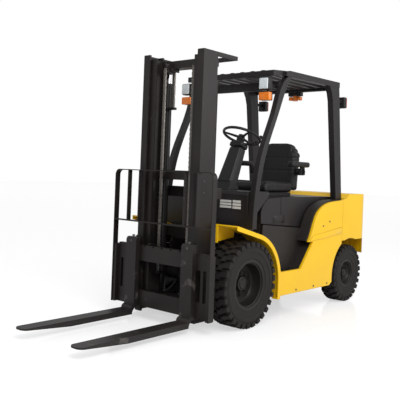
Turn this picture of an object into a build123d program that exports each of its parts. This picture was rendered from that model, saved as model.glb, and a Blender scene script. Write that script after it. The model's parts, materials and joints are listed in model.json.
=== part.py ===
"""Counterbalance forklift truck, built as separate named pieces.

+Z is up, the forks point along -Y and the truck's left side is +X. The origin is on the floor,
midway along the truck. Sizes are in millimetres.
"""

import os
from math import cos, hypot, pi, radians, sin, sqrt, tan

from build123d import *

os.makedirs("parts", exist_ok=True)

# Layout along the truck, from the front axle
wheelbase = 1700
fork_tip_reach = 1556
tail_overhang = 420
tail_reach = wheelbase + tail_overhang
front_axle_y = (fork_tip_reach - tail_reach) / 2

# Clearances
seat_gap = 0.3
running_gap = 6
pin_gap = 0.5

# Front wheels
front_tyre_r = 353
front_tyre_width = 220
front_track_half = 485
front_rim_seat_r = 190
front_rim_flange_r = 212
front_rim_half = 95
front_lug_height = 22
front_lug_pairs = 18

# Rear wheels
rear_tyre_r = 285
rear_tyre_width = 170
rear_track_half = 480
rear_rim_seat_r = 127
rear_rim_flange_r = 145
rear_rim_half = 72
rear_lug_height = 16
rear_lug_pairs = 16
rim_sides = 24

# Body widths
body_half = 580
panel_skin = 25
step_depth = 125
riser_outer = body_half - step_depth
hood_side = riser_outer - 17
frame_plate_outer = 282
frame_plate_thick = 20
fender_outer_x = body_half + 20
fender_inner_x = front_track_half - front_tyre_width / 2 - 17

# Body, lengthwise and upright
bay_rear_y = wheelbase - 112
panel_rear_y = wheelbase - 180
tank_front_y = 470
tank_rear_y = wheelbase - 360
tank_bottom_z = 215
tank_top_z = 394
tread_thick = 12
floor_z = 690
floor_thick = 10
cowl_top_z = 1104
deck_z = 625
weight_top_z = 1088

# Mast
rail_outer_x = 337
rail_width = 68
rail_front_y = -398
rail_rear_y = -222
rail_flange = 20
rail_web = 14
rail_bottom_z = 55
rail_top_z = 2231
inner_tip_x = rail_outer_x - 122
inner_web_x = rail_outer_x - 88
inner_flange = 18
inner_web = 14
inner_bottom_z = 95
inner_top_z = rail_top_z - 36
tie_drop = 41
tie_height = 65
lift_stroke = 1600
lift_x = inner_web_x + 10
lift_y = rail_rear_y + 50
barrel_r = 37.5
barrel_bore_r = 30
barrel_top_z = rail_top_z - 226
rod_r = 22
chain_x = 160
chain_width = 28
chain_thick = 16
chain_pitch = 95
sheave_y = rail_rear_y - 38
sheave_z = rail_top_z - 111
sheave_r = 47
front_chain_end_z = 400
rear_chain_end_z = rail_top_z - 431

# Carriage, load backrest and forks
bar_front_y = rail_front_y - 45
bar_thick = 38
bar_half = 513
upper_bar_z = (490, 622)
lower_bar_z = (112, 243)
roller_r = 39
fork_x = 317
fork_width = 120
fork_thick = 45
fork_top_z = 88
shank_top_z = 686
backrest_x = bar_half + 39
backrest_top_z = 1255
backrest_mid_z = 820
backrest_depth = 50
backrest_thick = 8
upright_depth = 40

# Axles
axle_tube_r = 60
kingpin_x = 380
steer_arm = 75
steer_travel = 71

# Tilt cylinders
tilt_pin = (-177, 632)
tilt_anchor = (368, 584)
tilt_x = rail_outer_x - 19
tilt_pin_r = 12

# Hood and seat
hood_hinge = (bay_rear_y - 15, 1007)
hinge_x = 300
hinge_pin_r = 8
hood_wall = 6
hood_front_y = 321
hood_rear_y = bay_rear_y - 55
hood_top_z = 1055
split_r = 955
cushion_front_y = 627
cushion_rear_y = 1113
cushion_bottom_z = 1088
cushion_top_z = 1192

# Overhead guard
guard_half = body_half - 55
pillar_width = 50
roof_front_y = 345
roof_rear_y = wheelbase - 238
roof_under_z = 2124
roof_top_z = 2177
roof_rise = 15

# Steering
column_lean = 24
column_base = (355, cowl_top_z)
wheel_distance = 549
wheel_r = 178
wheel_tube_r = 13


def at_x(x):
    """A lengthwise plane, drawn as (back from the front axle, up)."""
    return Plane(origin=(x, front_axle_y, 0), x_dir=(0, 1, 0), z_dir=(1, 0, 0))


def at_y(y):
    """A plane across the truck that faces forward, drawn as (left, up)."""
    return Plane(origin=(0, front_axle_y + y, 0), x_dir=(1, 0, 0), z_dir=(0, -1, 0))


def at_z(z):
    """A level plane, drawn as (left, back from the front axle)."""
    return Plane(origin=(0, front_axle_y, z))


def write(piece, label):
    """Names a finished piece and writes it out."""
    piece.part.label = label
    export_step(piece.part, f"parts/{label}.step")


def slab(x0, x1, y0, y1, z0, z1, mode=Mode.ADD):
    """A block between two corners, in the running builder."""
    with BuildSketch(at_z(z0)) as outline:
        with Locations(((x0 + x1) / 2, (y0 + y1) / 2)):
            Rectangle(abs(x1 - x0), abs(y1 - y0))
    extrude(outline.sketch, amount=z1 - z0, mode=mode)


def plate(points, x0, x1, mode=Mode.ADD):
    """A lengthwise outline given thickness from x0 to x1, in the running builder."""
    with BuildSketch(at_x(x0)) as outline:
        with BuildLine():
            Polyline(*points, close=True)
        make_face()
    extrude(outline.sketch, amount=x1 - x0, mode=mode)


def disc(x0, x1, y, z, r, mode=Mode.ADD, sides=None):
    """A bar across the truck, round or with that many sides, in the running builder."""
    with BuildSketch(at_x(x0)) as outline:
        with Locations((y, z)):
            if sides:
                RegularPolygon(r, sides)
            else:
                Circle(r)
    extrude(outline.sketch, amount=x1 - x0, mode=mode)


def post(x, y, z0, z1, r, mode=Mode.ADD, sides=None):
    """An upright bar, round or with that many sides, in the running builder."""
    with BuildSketch(at_z(z0)) as outline:
        with Locations((x, y)):
            if sides:
                RegularPolygon(r, sides)
            else:
                Circle(r)
    extrude(outline.sketch, amount=z1 - z0, mode=mode)


def turned(plane, sections, sides, mode=Mode.ADD):
    """A many-sided body through (distance, radius) sections along a plane's normal, in the running builder."""
    outlines = []
    for along, r in sections:
        with BuildSketch(plane.offset(along)) as outline:
            RegularPolygon(r, sides)
        outlines.append(outline.sketch)
    loft(outlines, ruled=True, mode=mode)


# Tyres: a many-sided carcass with staggered lugs from each shoulder


def tyre(label, side, track_half, axle_y, radius, width, seat_r, flange_r, flange_half, lug, pairs):
    centre = (side * track_half, front_axle_y + axle_y, radius)
    carcass_r = radius - lug
    half = width / 2
    bulge_r = (flange_r + carcass_r) / 2 + 12
    bead_half = flange_half - 9 - seat_gap
    across = Plane(origin=centre, x_dir=(0, 1, 0), z_dir=(1, 0, 0))
    radial = Plane(origin=centre, x_dir=(1, 0, 0), z_dir=(0, -1, 0))
    pitch = 360 / pairs
    lug_long = pi * radius / pairs * 0.98
    with BuildPart() as rubber:
        turned(across, ((-half, bulge_r), (-half + 6, carcass_r - 8), (-half + 16, carcass_r), (half - 16, carcass_r),
                        (half - 6, carcass_r - 8), (half, bulge_r)), 2 * pairs)
        turned(across, ((-half, seat_r + seat_gap), (half, seat_r + seat_gap)), rim_sides, mode=Mode.SUBTRACT)
        for hand in (1, -1):
            turned(across, ((hand * bead_half, flange_r + seat_gap), (hand * flange_half, flange_r + seat_gap),
                            (hand * (half + 1), bulge_r - 14)), rim_sides, mode=Mode.SUBTRACT)
            with BuildPart(mode=Mode.PRIVATE) as tread_lug:
                with BuildSketch(radial.offset(-lug_long / 2)):
                    with BuildLine():
                        Polyline((hand * 10, carcass_r - 14), (hand * 10, radius - 0.4),
                                 (hand * (half - 14), radius - 0.4), (hand * (half - 2), carcass_r - 22), close=True)
                    make_face()
                extrude(amount=lug_long)
            turn = 0 if hand > 0 else pitch / 2
            axis = Axis(centre, (1, 0, 0))
            add([tread_lug.part.rotate(axis, turn + i * pitch) for i in range(pairs)])
    write(rubber, label)


# Rims: deep dished discs with a hub, a round cap and wheel nuts


def rim(label, side, track_half, axle_y, radius, seat_r, flange_r, flange_half, disc_at, hub_r, nuts, nut_r):
    centre = (side * track_half, front_axle_y + axle_y, radius)
    across = Plane(origin=centre, x_dir=(0, 1, 0), z_dir=(side, 0, 0))
    barrel_in = seat_r - 9
    disc_in = disc_at - 6
    disc_out = disc_at + 8
    with BuildPart() as steel:
        turned(across, ((-flange_half, seat_r), (flange_half, seat_r)), rim_sides)
        for hand in (1, -1):
            turned(across, ((hand * (flange_half - 9), flange_r), (hand * flange_half, flange_r)), rim_sides)
        turned(across, ((-flange_half, barrel_in), (disc_in, barrel_in)), rim_sides, mode=Mode.SUBTRACT)
        turned(across, ((disc_out, barrel_in - 22), (disc_out + 18, barrel_in), (flange_half, barrel_in)), rim_sides,
               mode=Mode.SUBTRACT)
        turned(across, ((disc_out - 1, hub_r + 4), (disc_at + 44, hub_r)), rim_sides)
        with BuildSketch(across.offset(disc_at + 44)) as cap:
            Circle(hub_r - 20)
        extrude(cap.sketch, amount=8)
        with BuildSketch(across.offset(disc_out - 1)) as nut_ring:
            with PolarLocations(hub_r + nut_r + 12, nuts):
                RegularPolygon(nut_r, 6)
        extrude(nut_ring.sketch, amount=18)
    write(steel, label)


for side, hand in ((1, "left"), (-1, "right")):
    tyre(f"front_tyre_{hand}", side, front_track_half, 0, front_tyre_r, front_tyre_width,
         front_rim_seat_r, front_rim_flange_r, front_rim_half, front_lug_height, front_lug_pairs)
    rim(f"front_rim_{hand}", side, front_track_half, 0, front_tyre_r, front_rim_seat_r,
        front_rim_flange_r, front_rim_half, -26, 62, 8, 14)
    tyre(f"rear_tyre_{hand}", side, rear_track_half, wheelbase, rear_tyre_r, rear_tyre_width,
         rear_rim_seat_r, rear_rim_flange_r, rear_rim_half, rear_lug_height, rear_lug_pairs)
    rim(f"rear_rim_{hand}", side, rear_track_half, wheelbase, rear_tyre_r, rear_rim_seat_r,
        rear_rim_flange_r, rear_rim_half, 0, 46, 6, 11)

# Drive axle: differential housing, tubes and brake drums
drum_inner_x = rail_outer_x + 42
drum_outer_x = front_track_half - 26 - 6 - seat_gap
with BuildPart() as drive_axle:
    axle_plane = Plane(origin=(0, front_axle_y, front_tyre_r), x_dir=(0, 1, 0), z_dir=(1, 0, 0))
    disc(-drum_inner_x, drum_inner_x, 0, front_tyre_r, axle_tube_r, sides=16)
    turned(axle_plane, ((-190, axle_tube_r - 10), (-150, 95), (-70, 150), (70, 150), (150, 95), (190, axle_tube_r - 10)), 16)
    for side in (1, -1):
        disc(side * drum_inner_x, side * drum_outer_x, 0, front_tyre_r, 150, sides=24)
write(drive_axle, "drive_axle")

# Steer axle: two plates with the cylinder between them, hung from a lengthwise pin
steer_z = rear_tyre_r
plate_gap = 50
plate_thick = 20
trunnion_z = 430
trunnion_r = 25
cylinder_y = wheelbase + 30
steer_cylinder_r = 32
steer_rod_r = 16
link_inner_x = 232
web_outer_x = link_inner_x - steer_travel - running_gap
with BuildPart() as steer_axle:
    for z in (steer_z + plate_gap, steer_z - plate_gap - plate_thick):
        with BuildSketch(at_z(z)):
            with BuildLine():
                Polyline((-kingpin_x, wheelbase - 42), (-180, wheelbase - 72), (180, wheelbase - 72),
                         (kingpin_x, wheelbase - 42), (kingpin_x, wheelbase + 42), (180, wheelbase + 72),
                         (-180, wheelbase + 72), (-kingpin_x, wheelbase + 42), close=True)
            make_face()
            with Locations((kingpin_x, wheelbase), (-kingpin_x, wheelbase)):
                RegularPolygon(45, 16)
        extrude(amount=plate_thick)
    slab(-web_outer_x, web_outer_x, wheelbase - 72, wheelbase - 52, steer_z - plate_gap, steer_z + plate_gap)
    for side in (1, -1):
        slab(side * (web_outer_x - 20), side * web_outer_x, wheelbase - 72, wheelbase + 70,
             steer_z - plate_gap, steer_z + plate_gap)
    disc(-web_outer_x + 20, web_outer_x - 20, cylinder_y, steer_z, steer_cylinder_r, sides=20)
    disc(-web_outer_x, web_outer_x, cylinder_y, steer_z, steer_rod_r + 1, mode=Mode.SUBTRACT, sides=16)
    slab(-50, 50, wheelbase - 60, wheelbase + 60, steer_z + plate_gap + plate_thick, trunnion_z + 45)
    with BuildSketch(at_y(wheelbase + 105)):
        with Locations((0, trunnion_z)):
            RegularPolygon(trunnion_r, 16)
    extrude(amount=210)
write(steer_axle, "steer_axle")

# Steering knuckles between the axle's plates, each with a spindle and a steering arm
for side, hand in ((1, "left"), (-1, "right")):
    with BuildPart() as knuckle:
        post(side * kingpin_x, wheelbase, steer_z - plate_gap + seat_gap, steer_z + plate_gap - seat_gap, 28)
        disc(side * (kingpin_x + 20), side * (rear_track_half - 6 - seat_gap), wheelbase, steer_z, 28, sides=16)
        disc(side * (kingpin_x + 20), side * (kingpin_x + 52), wheelbase, steer_z, 44, sides=16)
        with BuildSketch(at_z(steer_z + 5)):
            with BuildLine():
                Polyline((side * (kingpin_x - 24), wheelbase), (side * (kingpin_x + 20), wheelbase),
                         (side * (kingpin_x + 14), wheelbase + steer_arm),
                         (side * (kingpin_x - 16), wheelbase + steer_arm), close=True)
            make_face()
            with Locations((side * kingpin_x, wheelbase + steer_arm)):
                RegularPolygon(18, 12)
        extrude(amount=22)
    write(knuckle, f"knuckle_{hand}")

# Steering rod through the cylinder, with a link at each end that reaches under the steering arm
with BuildPart() as steer_rod:
    disc(-link_inner_x - 12, link_inner_x + 12, cylinder_y, steer_z, steer_rod_r, sides=16)
    for side in (1, -1):
        with BuildSketch(at_z(steer_z - 20)):
            with BuildLine():
                Polyline((side * link_inner_x, cylinder_y - 16), (side * (link_inner_x + 22), cylinder_y - 16),
                         (side * (kingpin_x - 70), cylinder_y + 5), (side * (kingpin_x - 20), cylinder_y + 11),
                         (side * (kingpin_x + 4), wheelbase + steer_arm - 8),
                         (side * (kingpin_x + 4), wheelbase + steer_arm + 8),
                         (side * (kingpin_x - 18), wheelbase + steer_arm + 8),
                         (side * (kingpin_x - 24), cylinder_y + 30),
                         (side * link_inner_x, cylinder_y + 16), close=True)
            make_face()
        extrude(amount=18)
write(steer_rod, "steer_rod")

# Frame: side plates, cross members, side tanks, axle saddles and hangers
frame_inner = frame_plate_outer - frame_plate_thick
tank_outer_x = body_half - panel_skin - seat_gap
tread_top_z = tank_top_z + tread_thick
saddle_z = front_tyre_r + axle_tube_r + seat_gap
well_roof_z = 590
deck_front_y = wheelbase - 300
deck_rear_y = wheelbase + 170
frame_rear_low_y = wheelbase - 370
bay_floor_z = 770
hanger_y = (wheelbase - 104, wheelbase + 64)
lug_out = 29
lug_in = 17
with BuildPart() as frame:
    for side in (1, -1):
        plate(((-40, 470), (-65, 600), (-25, floor_z), (600, floor_z), (600, bay_floor_z), (bay_rear_y, bay_floor_z),
               (bay_rear_y, well_roof_z), (deck_front_y, well_roof_z), (frame_rear_low_y, 520),
               (frame_rear_low_y, tank_bottom_z), (tank_front_y, tank_bottom_z), (330, 470)),
              side * frame_inner, side * frame_plate_outer)
        plate(((-46, 470), (-36, saddle_z - 22), (36, saddle_z - 22), (46, 470)),
              side * frame_inner, side * frame_plate_outer)
        slab(side * frame_plate_outer, side * tank_outer_x, tank_front_y, tank_rear_y, tank_bottom_z, tank_top_z)
    disc(-frame_plate_outer, frame_plate_outer, 0, front_tyre_r, axle_tube_r + seat_gap, mode=Mode.SUBTRACT)
    slab(-frame_inner, frame_inner, -40, 40, 520, 560)
    slab(-frame_inner, frame_inner, frame_rear_low_y - 40, frame_rear_low_y, tank_bottom_z, 520)
    slab(-frame_inner, frame_inner, tank_front_y, tank_front_y + 30, tank_bottom_z, 330)
    slab(-330, 330, deck_front_y, deck_rear_y, well_roof_z, deck_z)
    for y in hanger_y:
        slab(-75, 75, y, y + 40, trunnion_z - 55, well_roof_z)
    with BuildSketch(at_y(wheelbase + 110)):
        with Locations((0, trunnion_z)):
            RegularPolygon(trunnion_r + pin_gap, 16)
    extrude(amount=220, mode=Mode.SUBTRACT)
    for side in (1, -1):
        slab(side * 101, side * 290, -20, -10, 655, 744)
        slab(side * 290, side * 333, -20, -10, 674, 744)
        slab(side * 171, side * 295, -20, -10, 744, 810)
        for x in (tilt_x - lug_out, tilt_x + lug_in):
            plate(((tank_front_y, tilt_anchor[1] - 210), (tank_front_y, tilt_anchor[1] + 26),
                   (tilt_anchor[0] - 20, tilt_anchor[1] + 22), (tilt_anchor[0] - 20, tilt_anchor[1] - 22),
                   (tilt_anchor[0], tilt_anchor[1] - 60)), side * x, side * (x + 12))
        slab(side * frame_plate_outer, side * (tilt_x + lug_out), tank_front_y, tank_front_y + 20,
             tank_top_z, tilt_anchor[1] + 50)
        disc(side * (tilt_x - lug_out), side * (tilt_x + lug_out), *tilt_anchor, tilt_pin_r)
write(frame, "frame")

# Front fenders: a sheet round the wheel that runs on forward in a straight slope
fender_r = front_tyre_r + 55
fender_sheet = 10
fender_end_angle = 75.5
fender_front_y = -218
fender_foot_z = 198
fender_drop = 140
fender_lip = 26
fender_gap = 3
with BuildPart() as fenders:
    wheel_z = front_tyre_r
    end = radians(fender_end_angle)
    front_z = wheel_z + fender_r * sin(end) + (fender_r * cos(end) - fender_front_y) / tan(end)
    for side in (1, -1):
        for inset, x0, x1 in ((0, fender_inner_x, fender_outer_x), (fender_lip, fender_outer_x - 9, fender_outer_x)):
            with BuildSketch(at_x(side * x0)):
                inner_r = fender_r - inset
                outer_r = fender_r + fender_sheet
                with BuildLine():
                    arc_in = CenterArc((0, wheel_z), inner_r, 0, fender_end_angle)
                    arc_out = CenterArc((0, wheel_z), outer_r, 0, fender_end_angle)
                    Polyline(arc_in @ 1, (fender_front_y, front_z - inset / sin(end)),
                             (fender_front_y, front_z + fender_sheet / sin(end)), arc_out @ 1)
                    Polyline(arc_in @ 0, (inner_r, fender_foot_z), (outer_r, fender_foot_z), arc_out @ 0)
                make_face()
            extrude(amount=side * (x1 - x0))
        plate(((fender_front_y, front_z - fender_drop), (fender_front_y, front_z + 2), (40, front_z - 65),
               (40, front_z - 110)), side * fender_inner_x, side * (fender_inner_x + 8))
        slab(side * fender_inner_x, side * (fender_inner_x + 40), fender_front_y, fender_front_y + 8,
             front_z - fender_drop, front_z + 2)
        slab(side * (fender_outer_x - 60), side * fender_outer_x, fender_r - fender_lip, fender_r + fender_sheet,
             fender_foot_z - 8, fender_foot_z + 2)
write(fenders, "fenders")

# Yellow side panels: sill, step opening, slanted edge and curved upper edge
arch_r = 358
arch_z = rear_tyre_r
arch_low_z = 240
sill_z = 209
weight_lip_z = 1030
arch_top = (panel_rear_y, arch_z + sqrt(arch_r**2 - (wheelbase - panel_rear_y) ** 2))
arch_low = (wheelbase - sqrt(arch_r**2 - (arch_low_z - arch_z) ** 2), arch_low_z)
step_rear_low = (wheelbase - 928, 415)
step_rear_high = (wheelbase - 730, 648)
panel_front_y = fender_r + fender_sheet + seat_gap
panel_edge = ((wheelbase - 807, 648), (wheelbase - 744, 766), (wheelbase - 665, 904), (wheelbase - 559, 976),
              (wheelbase - 349, 1017), (panel_rear_y, weight_lip_z))
with BuildPart() as side_panels:
    for side in (1, -1):
        with BuildSketch(at_x(side * (body_half - panel_skin))):
            with BuildLine():
                Polyline(arch_low, (arch_low[0] - 46, sill_z), (panel_front_y, sill_z), (panel_front_y, step_rear_low[1]),
                         step_rear_low, step_rear_high, panel_edge[0])
                edge = Spline(*panel_edge)
                Line(edge @ 1, arch_top)
                RadiusArc(arch_top, arch_low, -arch_r)
            make_face()
        extrude(amount=side * panel_skin)
write(side_panels, "side_panels")

# Side covers: risers, step treads, slanted closing plates and the shoulders beside the hood
skirt_low_z = 826
trim_points = ((hood_front_y + 6, skirt_low_z - 8), (wheelbase - 703, 762), (wheelbase - 544, 905),
               (wheelbase - 403, 1012))
shoulder_edge = ((wheelbase - 821, 657), (wheelbase - 758, 776), (wheelbase - 679, 914), (wheelbase - 573, 986),
                 (wheelbase - 363, 1024))
with BuildPart() as side_covers:
    for side in (1, -1):
        plate(((panel_front_y + 4, tank_top_z), (panel_front_y + 4, floor_z), (hood_front_y + 6, floor_z + 11),
               *trim_points, (bay_rear_y, 1012), (bay_rear_y, bay_floor_z + 2), (deck_front_y, 700),
               (deck_front_y - 60, 600), (tank_rear_y, tank_top_z)),
              side * (riser_outer - 15), side * riser_outer)
        slab(side * riser_outer, side * tank_outer_x, panel_front_y + 4, step_rear_low[0] + 20, tank_top_z, tread_top_z)
        plate(((step_rear_low[0] - 2, tread_top_z), (step_rear_high[0] - 2, 645), (step_rear_high[0] + 16, 645),
               (step_rear_low[0] + 16, tread_top_z)), side * riser_outer, side * tank_outer_x)
        with BuildSketch(at_x(side * riser_outer)):
            with BuildLine():
                low = Polyline((step_rear_high[0] + 6, 643), shoulder_edge[0])
                top = Spline(*shoulder_edge)
                Polyline(top @ 1, (wheelbase - 300, weight_lip_z), (bay_rear_y, weight_lip_z), (bay_rear_y, 650),
                         (wheelbase - 200, 632), (deck_front_y - 20, 530), (tank_rear_y, tank_top_z),
                         (wheelbase - 580, tank_top_z), (wheelbase - 580, 643), low @ 0)
            make_face()
        extrude(amount=side * (tank_outer_x - riser_outer))
write(side_covers, "side_covers")

# Counterweight: a casting with wheel wells, a duct for the cooling air and a tow jaw
weight_front_y = bay_rear_y + 5
weight_low_z = 300
tow_pin_y = tail_reach - 55
tow_pin_r = 18
jaw_z = (400, 460)
well_r = 350
with BuildPart() as counterweight:
    with BuildSketch(at_z(weight_low_z)):
        with BuildLine():
            Polyline((-380, tail_reach), (380, tail_reach))
            ThreePointArc((380, tail_reach), (body_half - 55, tail_reach - 65), (body_half, tail_reach - 210))
            Polyline((body_half, tail_reach - 210), (body_half, panel_rear_y + 3), (-body_half, panel_rear_y + 3),
                     (-body_half, tail_reach - 210))
            ThreePointArc((-body_half, tail_reach - 210), (-body_half + 55, tail_reach - 65), (-380, tail_reach))
        make_face()
    extrude(amount=weight_top_z - weight_low_z)
    with BuildSketch(at_x(-body_half)):
        with BuildLine():
            Polyline((panel_rear_y, 0), (panel_rear_y, weight_lip_z), (bay_rear_y, weight_lip_z + 12),
                     (bay_rear_y + 62, weight_top_z), (tail_reach - 146, weight_top_z), (tail_reach - 94, weight_top_z - 18),
                     (tail_reach - 8, 765), (tail_reach, 600), (tail_reach, 470), (tail_reach - 8, 330),
                     (tail_reach - 25, weight_low_z), (tail_reach - 25, 0), close=True)
        make_face()
    extrude(amount=2 * body_half, mode=Mode.INTERSECT)
    slab(-(body_half - panel_skin), body_half - panel_skin, panel_rear_y, weight_front_y, 0, weight_top_z + 5,
         mode=Mode.SUBTRACT)
    slab(-332, 332, panel_rear_y, deck_rear_y + 2, 0, deck_z + seat_gap, mode=Mode.SUBTRACT)
    for side in (1, -1):
        post(side * kingpin_x, wheelbase, 0, deck_z + seat_gap, well_r, mode=Mode.SUBTRACT, sides=32)
        slab(side * kingpin_x, side * (body_half + 40), wheelbase - well_r, wheelbase + 290, 0, weight_low_z,
             mode=Mode.SUBTRACT)
        disc(side * kingpin_x, side * (body_half + 40), wheelbase, arch_z, arch_r, mode=Mode.SUBTRACT)
        slab(side * kingpin_x, side * (body_half + 40), wheelbase, tail_reach + 50, 0, 470, mode=Mode.SUBTRACT)
    with BuildSketch(at_y(tail_reach + 20)):
        with Locations((0, 800)):
            RectangleRounded(340, 230, 40)
    extrude(amount=tail_reach + 20 - weight_front_y + 100, mode=Mode.SUBTRACT)
    slab(-60, 60, tow_pin_y - 25, tail_reach + 50, *jaw_z, mode=Mode.SUBTRACT)
    slab(-70, 70, tow_pin_y - 40, tail_reach + 50, 520, 640, mode=Mode.SUBTRACT)
    post(0, tow_pin_y, weight_low_z - 10, 530, tow_pin_r, mode=Mode.SUBTRACT)
write(counterweight, "counterweight")

# Operator's floor and the pedals on it
floor_top_z = floor_z + seat_gap + floor_thick
floor_rear_y = hood_front_y + 2
with BuildPart() as floor_plate:
    slab(-fender_inner_x + 2, fender_inner_x - 2, -5, floor_rear_y, floor_z + seat_gap, floor_top_z)
    slab(-riser_outer + 16, riser_outer - 16, 250, floor_rear_y, floor_z + seat_gap, floor_top_z)
    toe_half = hood_side - hood_wall - seat_gap
    slab(-toe_half, toe_half, floor_rear_y - 8, floor_rear_y, floor_top_z, skirt_low_z - seat_gap)
write(floor_plate, "floor_plate")

pedal_y = 180
with BuildPart() as pedals:
    for x, width in ((-150, 60), (-60, 60), (70, 60)):
        plate(((pedal_y, 765), (pedal_y + 65, 790), (pedal_y + 68, 783), (pedal_y + 3, 758)), x - width / 2, x + width / 2)
        plate(((pedal_y + 33, floor_top_z + seat_gap), (pedal_y + 33, 776), (pedal_y + 41, 779),
               (pedal_y + 41, floor_top_z + seat_gap)), x - 8, x + 8)
write(pedals, "pedals")

# Cowl with its dash ledge, and the steering column cover on it
cowl_half = guard_half - pillar_width - 5
ledge_rear_y = 372
cowl_low_z = floor_top_z + seat_gap
with BuildPart() as cowl:
    plate(((92, cowl_low_z), (67, cowl_top_z - 29), (85, cowl_top_z), (ledge_rear_y, cowl_top_z),
           (ledge_rear_y, cowl_top_z - 25), (108, cowl_top_z - 25), (93, cowl_top_z - 40), (117, cowl_low_z)),
          -cowl_half, cowl_half)
    for side in (1, -1):
        plate(((92, cowl_low_z), (67, cowl_top_z - 29), (85, cowl_top_z), (ledge_rear_y, cowl_top_z),
               (ledge_rear_y, cowl_top_z - 45), (178, 894), (161, cowl_low_z)),
              side * (cowl_half - 20), side * cowl_half)
        disc(side * (fender_inner_x - 2), side * (cowl_half + 5), 0, front_tyre_r, fender_r + fender_sheet + seat_gap,
             mode=Mode.SUBTRACT)
write(cowl, "cowl")

lean = radians(column_lean)
column_up = (0, sin(lean), cos(lean))
column_plane = Plane(origin=(0, front_axle_y + column_base[0], column_base[1]), x_dir=(1, 0, 0), z_dir=column_up)
cover_length = wheel_distance - 140
with BuildPart() as column_cover:
    with BuildSketch(column_plane.offset(60)):
        RectangleRounded(170, 120, 30)
    with BuildSketch(column_plane.offset(cover_length)):
        RectangleRounded(140, 100, 30)
    loft()
    plate(((295, cowl_top_z + seat_gap), (332, cowl_top_z + 82), (438, cowl_top_z + 36), (447, cowl_top_z + seat_gap)),
          -85, 85)
write(column_cover, "column_cover")

with BuildPart() as steering_wheel:
    hub_plane = column_plane.offset(wheel_distance)
    with BuildSketch(Plane(hub_plane.origin, x_dir=hub_plane.z_dir, z_dir=(1, 0, 0))):
        with Locations((0, wheel_r)):
            RegularPolygon(wheel_tube_r, 6)
    revolve(axis=Axis(hub_plane.origin, hub_plane.z_dir))
    with BuildSketch(hub_plane.offset(-60)):
        Circle(32)
    extrude(amount=70)
    with BuildSketch(column_plane.offset(cover_length + seat_gap)):
        RegularPolygon(18, 12)
    extrude(amount=wheel_distance - cover_length - 60)
    for angle in (90, 210, 330):
        with BuildSketch(hub_plane.offset(-12)):
            with Locations(Rotation(0, 0, angle)):
                with Locations((wheel_r / 2, 0)):
                    Rectangle(wheel_r, 26)
        extrude(amount=12)
write(steering_wheel, "steering_wheel")

lever_y = 284
lever_lean = 0.2
with BuildPart() as control_levers:
    for x in (-170, -215, -260):
        lever_plane = Plane(origin=(x, front_axle_y + lever_y, cowl_top_z + 10), x_dir=(1, 0, 0), z_dir=(0, lever_lean, 1))
        with BuildSketch(lever_plane) as stem:
            RegularPolygon(7, 8)
        extrude(stem.sketch, amount=165)
        turned(lever_plane, ((160, 11), (178, 16), (196, 13)), 10)
    slab(-290, -140, lever_y - 40, lever_y + 45, cowl_top_z + seat_gap, cowl_top_z + 15)
write(control_levers, "control_levers")

# Engine block in the bay behind the frame's front cross member
with BuildPart() as engine_block:
    slab(-frame_inner + seat_gap, frame_inner - seat_gap, 560, 1120, 420, 760)
write(engine_block, "engine_block")

with BuildPart() as radiator_cover:
    slab(-riser_outer + 16, riser_outer - 16, wheelbase - 317, bay_rear_y, bay_floor_z + seat_gap, bay_floor_z + 30)
    for side in (1, -1):
        plate(((bay_rear_y - 45, bay_floor_z + 30), (bay_rear_y, bay_floor_z + 30), (bay_rear_y, hood_hinge[1] + 15),
               (bay_rear_y - 30, hood_hinge[1] + 15), (bay_rear_y - 30, hood_hinge[1] - 15)),
              side * (hinge_x + seat_gap), side * (hinge_x + 12))
        disc(side * (hinge_x - 14), side * (hinge_x + 12), *hood_hinge, hinge_pin_r)
write(radiator_cover, "radiator_cover")


# Hood: one shell with its skirts cut along the trim line, parted by an arc about the hinge


def hood_shell():
    """The whole shell, in the running builder."""
    with BuildSketch(at_x(-hood_side)) as outside:
        with BuildLine():
            Polyline((hood_front_y, skirt_low_z), (hood_front_y - 3, 924))
            ThreePointArc((hood_front_y - 3, 924), (360, 999), (476, 1040))
            Polyline((476, 1040), (635, hood_top_z), (hood_rear_y, hood_top_z), (hood_rear_y, 1026),
                     (wheelbase - 404, 1026), (wheelbase - 544, 912), (wheelbase - 703, 770),
                     (hood_front_y, skirt_low_z))
        make_face()
    extrude(outside.sketch, amount=2 * hood_side)
    with BuildSketch(at_x(-hood_side + hood_wall)) as hollow:
        with BuildLine():
            Polyline((hood_front_y + hood_wall, 700), (hood_front_y - 3 + hood_wall, 924))
            ThreePointArc((hood_front_y - 3 + hood_wall, 924), (364, 994.5), (477.5, 1034))
            Polyline((477.5, 1034), (635.5, hood_top_z - hood_wall), (hood_rear_y + 100, hood_top_z - hood_wall),
                     (hood_rear_y + 100, 700), (hood_front_y + hood_wall, 700))
        make_face()
    extrude(hollow.sketch, amount=2 * (hood_side - hood_wall), mode=Mode.SUBTRACT)


with BuildPart() as hood_front:
    hood_shell()
    disc(-hood_side, hood_side, *hood_hinge, split_r, mode=Mode.SUBTRACT)
write(hood_front, "hood_front")

with BuildPart() as hood:
    hood_shell()
    disc(-hood_side, hood_side, *hood_hinge, split_r - running_gap, mode=Mode.INTERSECT)
    for side in (1, -1):
        plate(((hood_rear_y - 100, hood_top_z - 4), (hood_rear_y - 2, hood_top_z - 4), (hood_hinge[0] + 8, 1020),
               (hood_hinge[0] + 8, hood_hinge[1] - 10), (hood_hinge[0] - 15, hood_hinge[1] - 14), (hood_rear_y - 100, 1033)),
              side * (hinge_x - 12), side * hinge_x)
        disc(side * (hinge_x - 13), side * (hinge_x + 1), *hood_hinge, hinge_pin_r + pin_gap, mode=Mode.SUBTRACT)
write(hood, "hood")

with BuildPart() as seat_base:
    slab(-220, 220, cushion_front_y + 75, cushion_rear_y, hood_top_z + seat_gap, cushion_bottom_z - seat_gap)
write(seat_base, "seat_base")

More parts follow.
